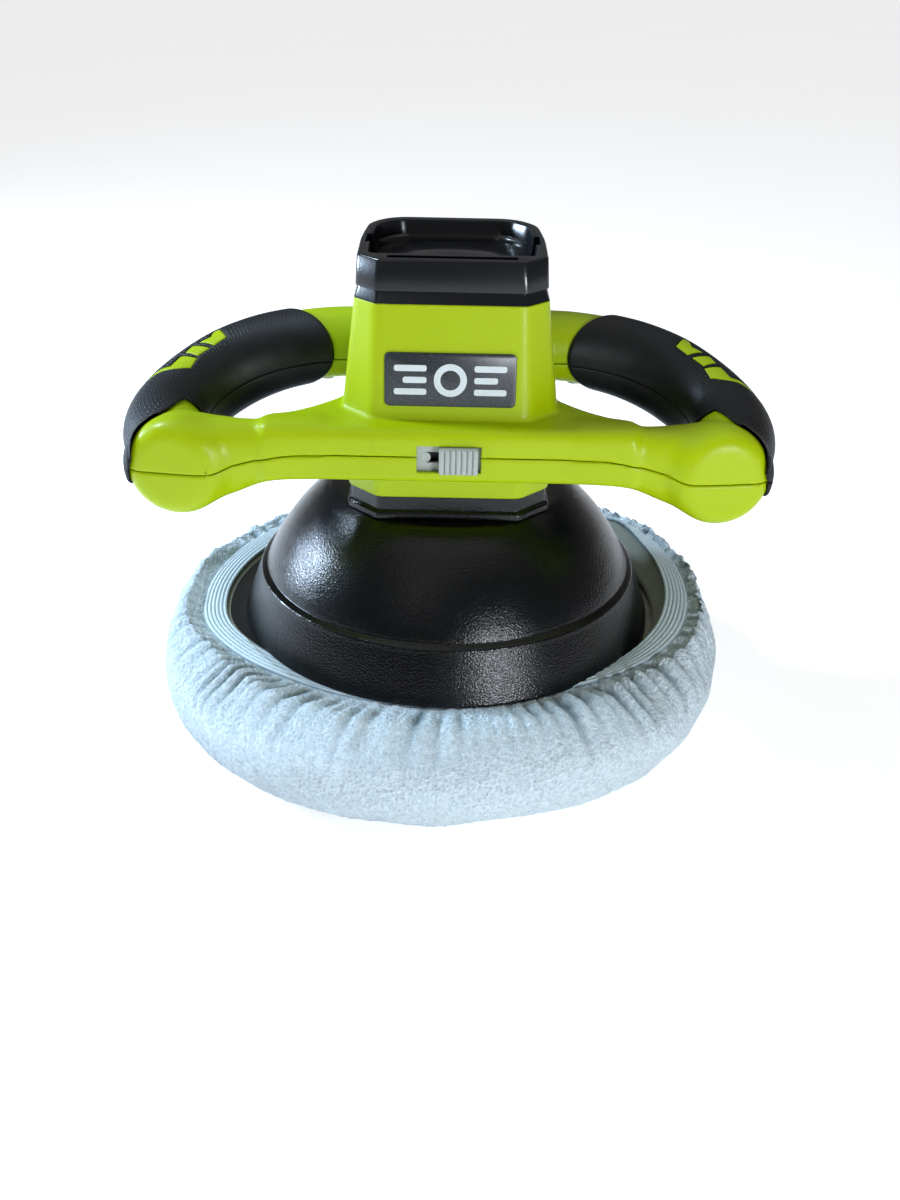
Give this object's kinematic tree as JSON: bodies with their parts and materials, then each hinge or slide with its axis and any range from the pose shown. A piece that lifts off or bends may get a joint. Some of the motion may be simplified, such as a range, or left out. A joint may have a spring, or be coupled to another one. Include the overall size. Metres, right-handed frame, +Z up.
{
  "type": "orbital buffer polisher",
  "caption": "Cordless orbital polisher with two loop handles, a slide switch on a front bar, a top battery port and a terry bonnet on a round foam pad under a domed shroud.",
  "frame": {"origin": "on the floor under the motor axis, at the underside of the bonnet", "axes": "+Z up along the motor axis, +X towards the right handle, -Y towards the bar with the switch"},
  "size_m": [0.2838, 0.262, 0.212],
  "materials": {
    "black_insulation": "flexible insulation",
    "black_nylon": "glass filled",
    "black_port": "semi gloss",
    "black_shell": "fine textured",
    "copper": "turned copper",
    "elastic_webbing": "ribbed weave",
    "green_housing": "satin moulded",
    "grey_switch": "satin moulded",
    "grip_rubber": "textured overmould",
    "magnet": "ferrite",
    "pad_foam": "open cell foam",
    "plate_graphite": "printed plate",
    "red_insulation": "flexible insulation",
    "steel": "ground",
    "terry_cloth": "looped pile",
    "winding_steel": "laminations and varnished wire",
    "zinc": "die cast"
  },
  "bodies": {
    "housing": {"upper_housing": "green_housing", "lower_housing": "green_housing", "housing_screws": "steel", "shroud_screws": "steel", "motor_screws": "steel", "left_grip_upper": "grip_rubber", "left_grip_lower": "grip_rubber", "right_grip_upper": "grip_rubber", "right_grip_lower": "grip_rubber", "battery_port_collar": "black_port", "battery_well": "black_port", "terminal_block": "black_nylon", "contact_blades": "copper", "name_plate": "plate_graphite", "switch_track": "grey_switch", "slide_switch": "black_nylon", "neck_collar": "black_shell", "shroud": "black_shell", "motor_mount": "black_nylon", "motor_can": "steel", "motor_end_cap": "black_nylon", "front_bearing": "steel", "rear_bearing": "steel", "motor_magnets": "magnet", "carbon_brushes": "magnet", "battery_lead": "red_insulation", "switch_lead": "red_insulation", "return_lead": "black_insulation"},
    "drive": {"armature": "winding_steel", "commutator": "copper", "motor_shaft": "steel", "eccentric_hub": "zinc", "counterweight": "zinc", "counterweight_screws": "steel", "bearing_inner_race": "steel", "pad_washer": "steel", "pad_screw": "steel"},
    "pad": {"bearing_outer_race": "steel", "bearing_clip": "steel", "backing_plate": "black_nylon", "foam_pad": "pad_foam", "bonnet": "terry_cloth", "elastic_band": "elastic_webbing"},
    "button": {"switch_button": "grey_switch"}
  },
  "joints": [
    {"name": "motor_spin", "type": "hinge", "parent": "housing", "child": "drive", "pos_m": [0, 0, 0.1], "axis": [0, 0, 1], "continuous": true},
    {"name": "pad_spin", "type": "hinge", "parent": "drive", "child": "pad", "pos_m": [-0.0045, 0, 0.047], "axis": [0, 0, 1], "continuous": true},
    {"name": "switch_slide", "type": "slide", "parent": "housing", "child": "button", "axis": [-1, 0, 0], "range_m": [0, 0.008]}
  ]
}
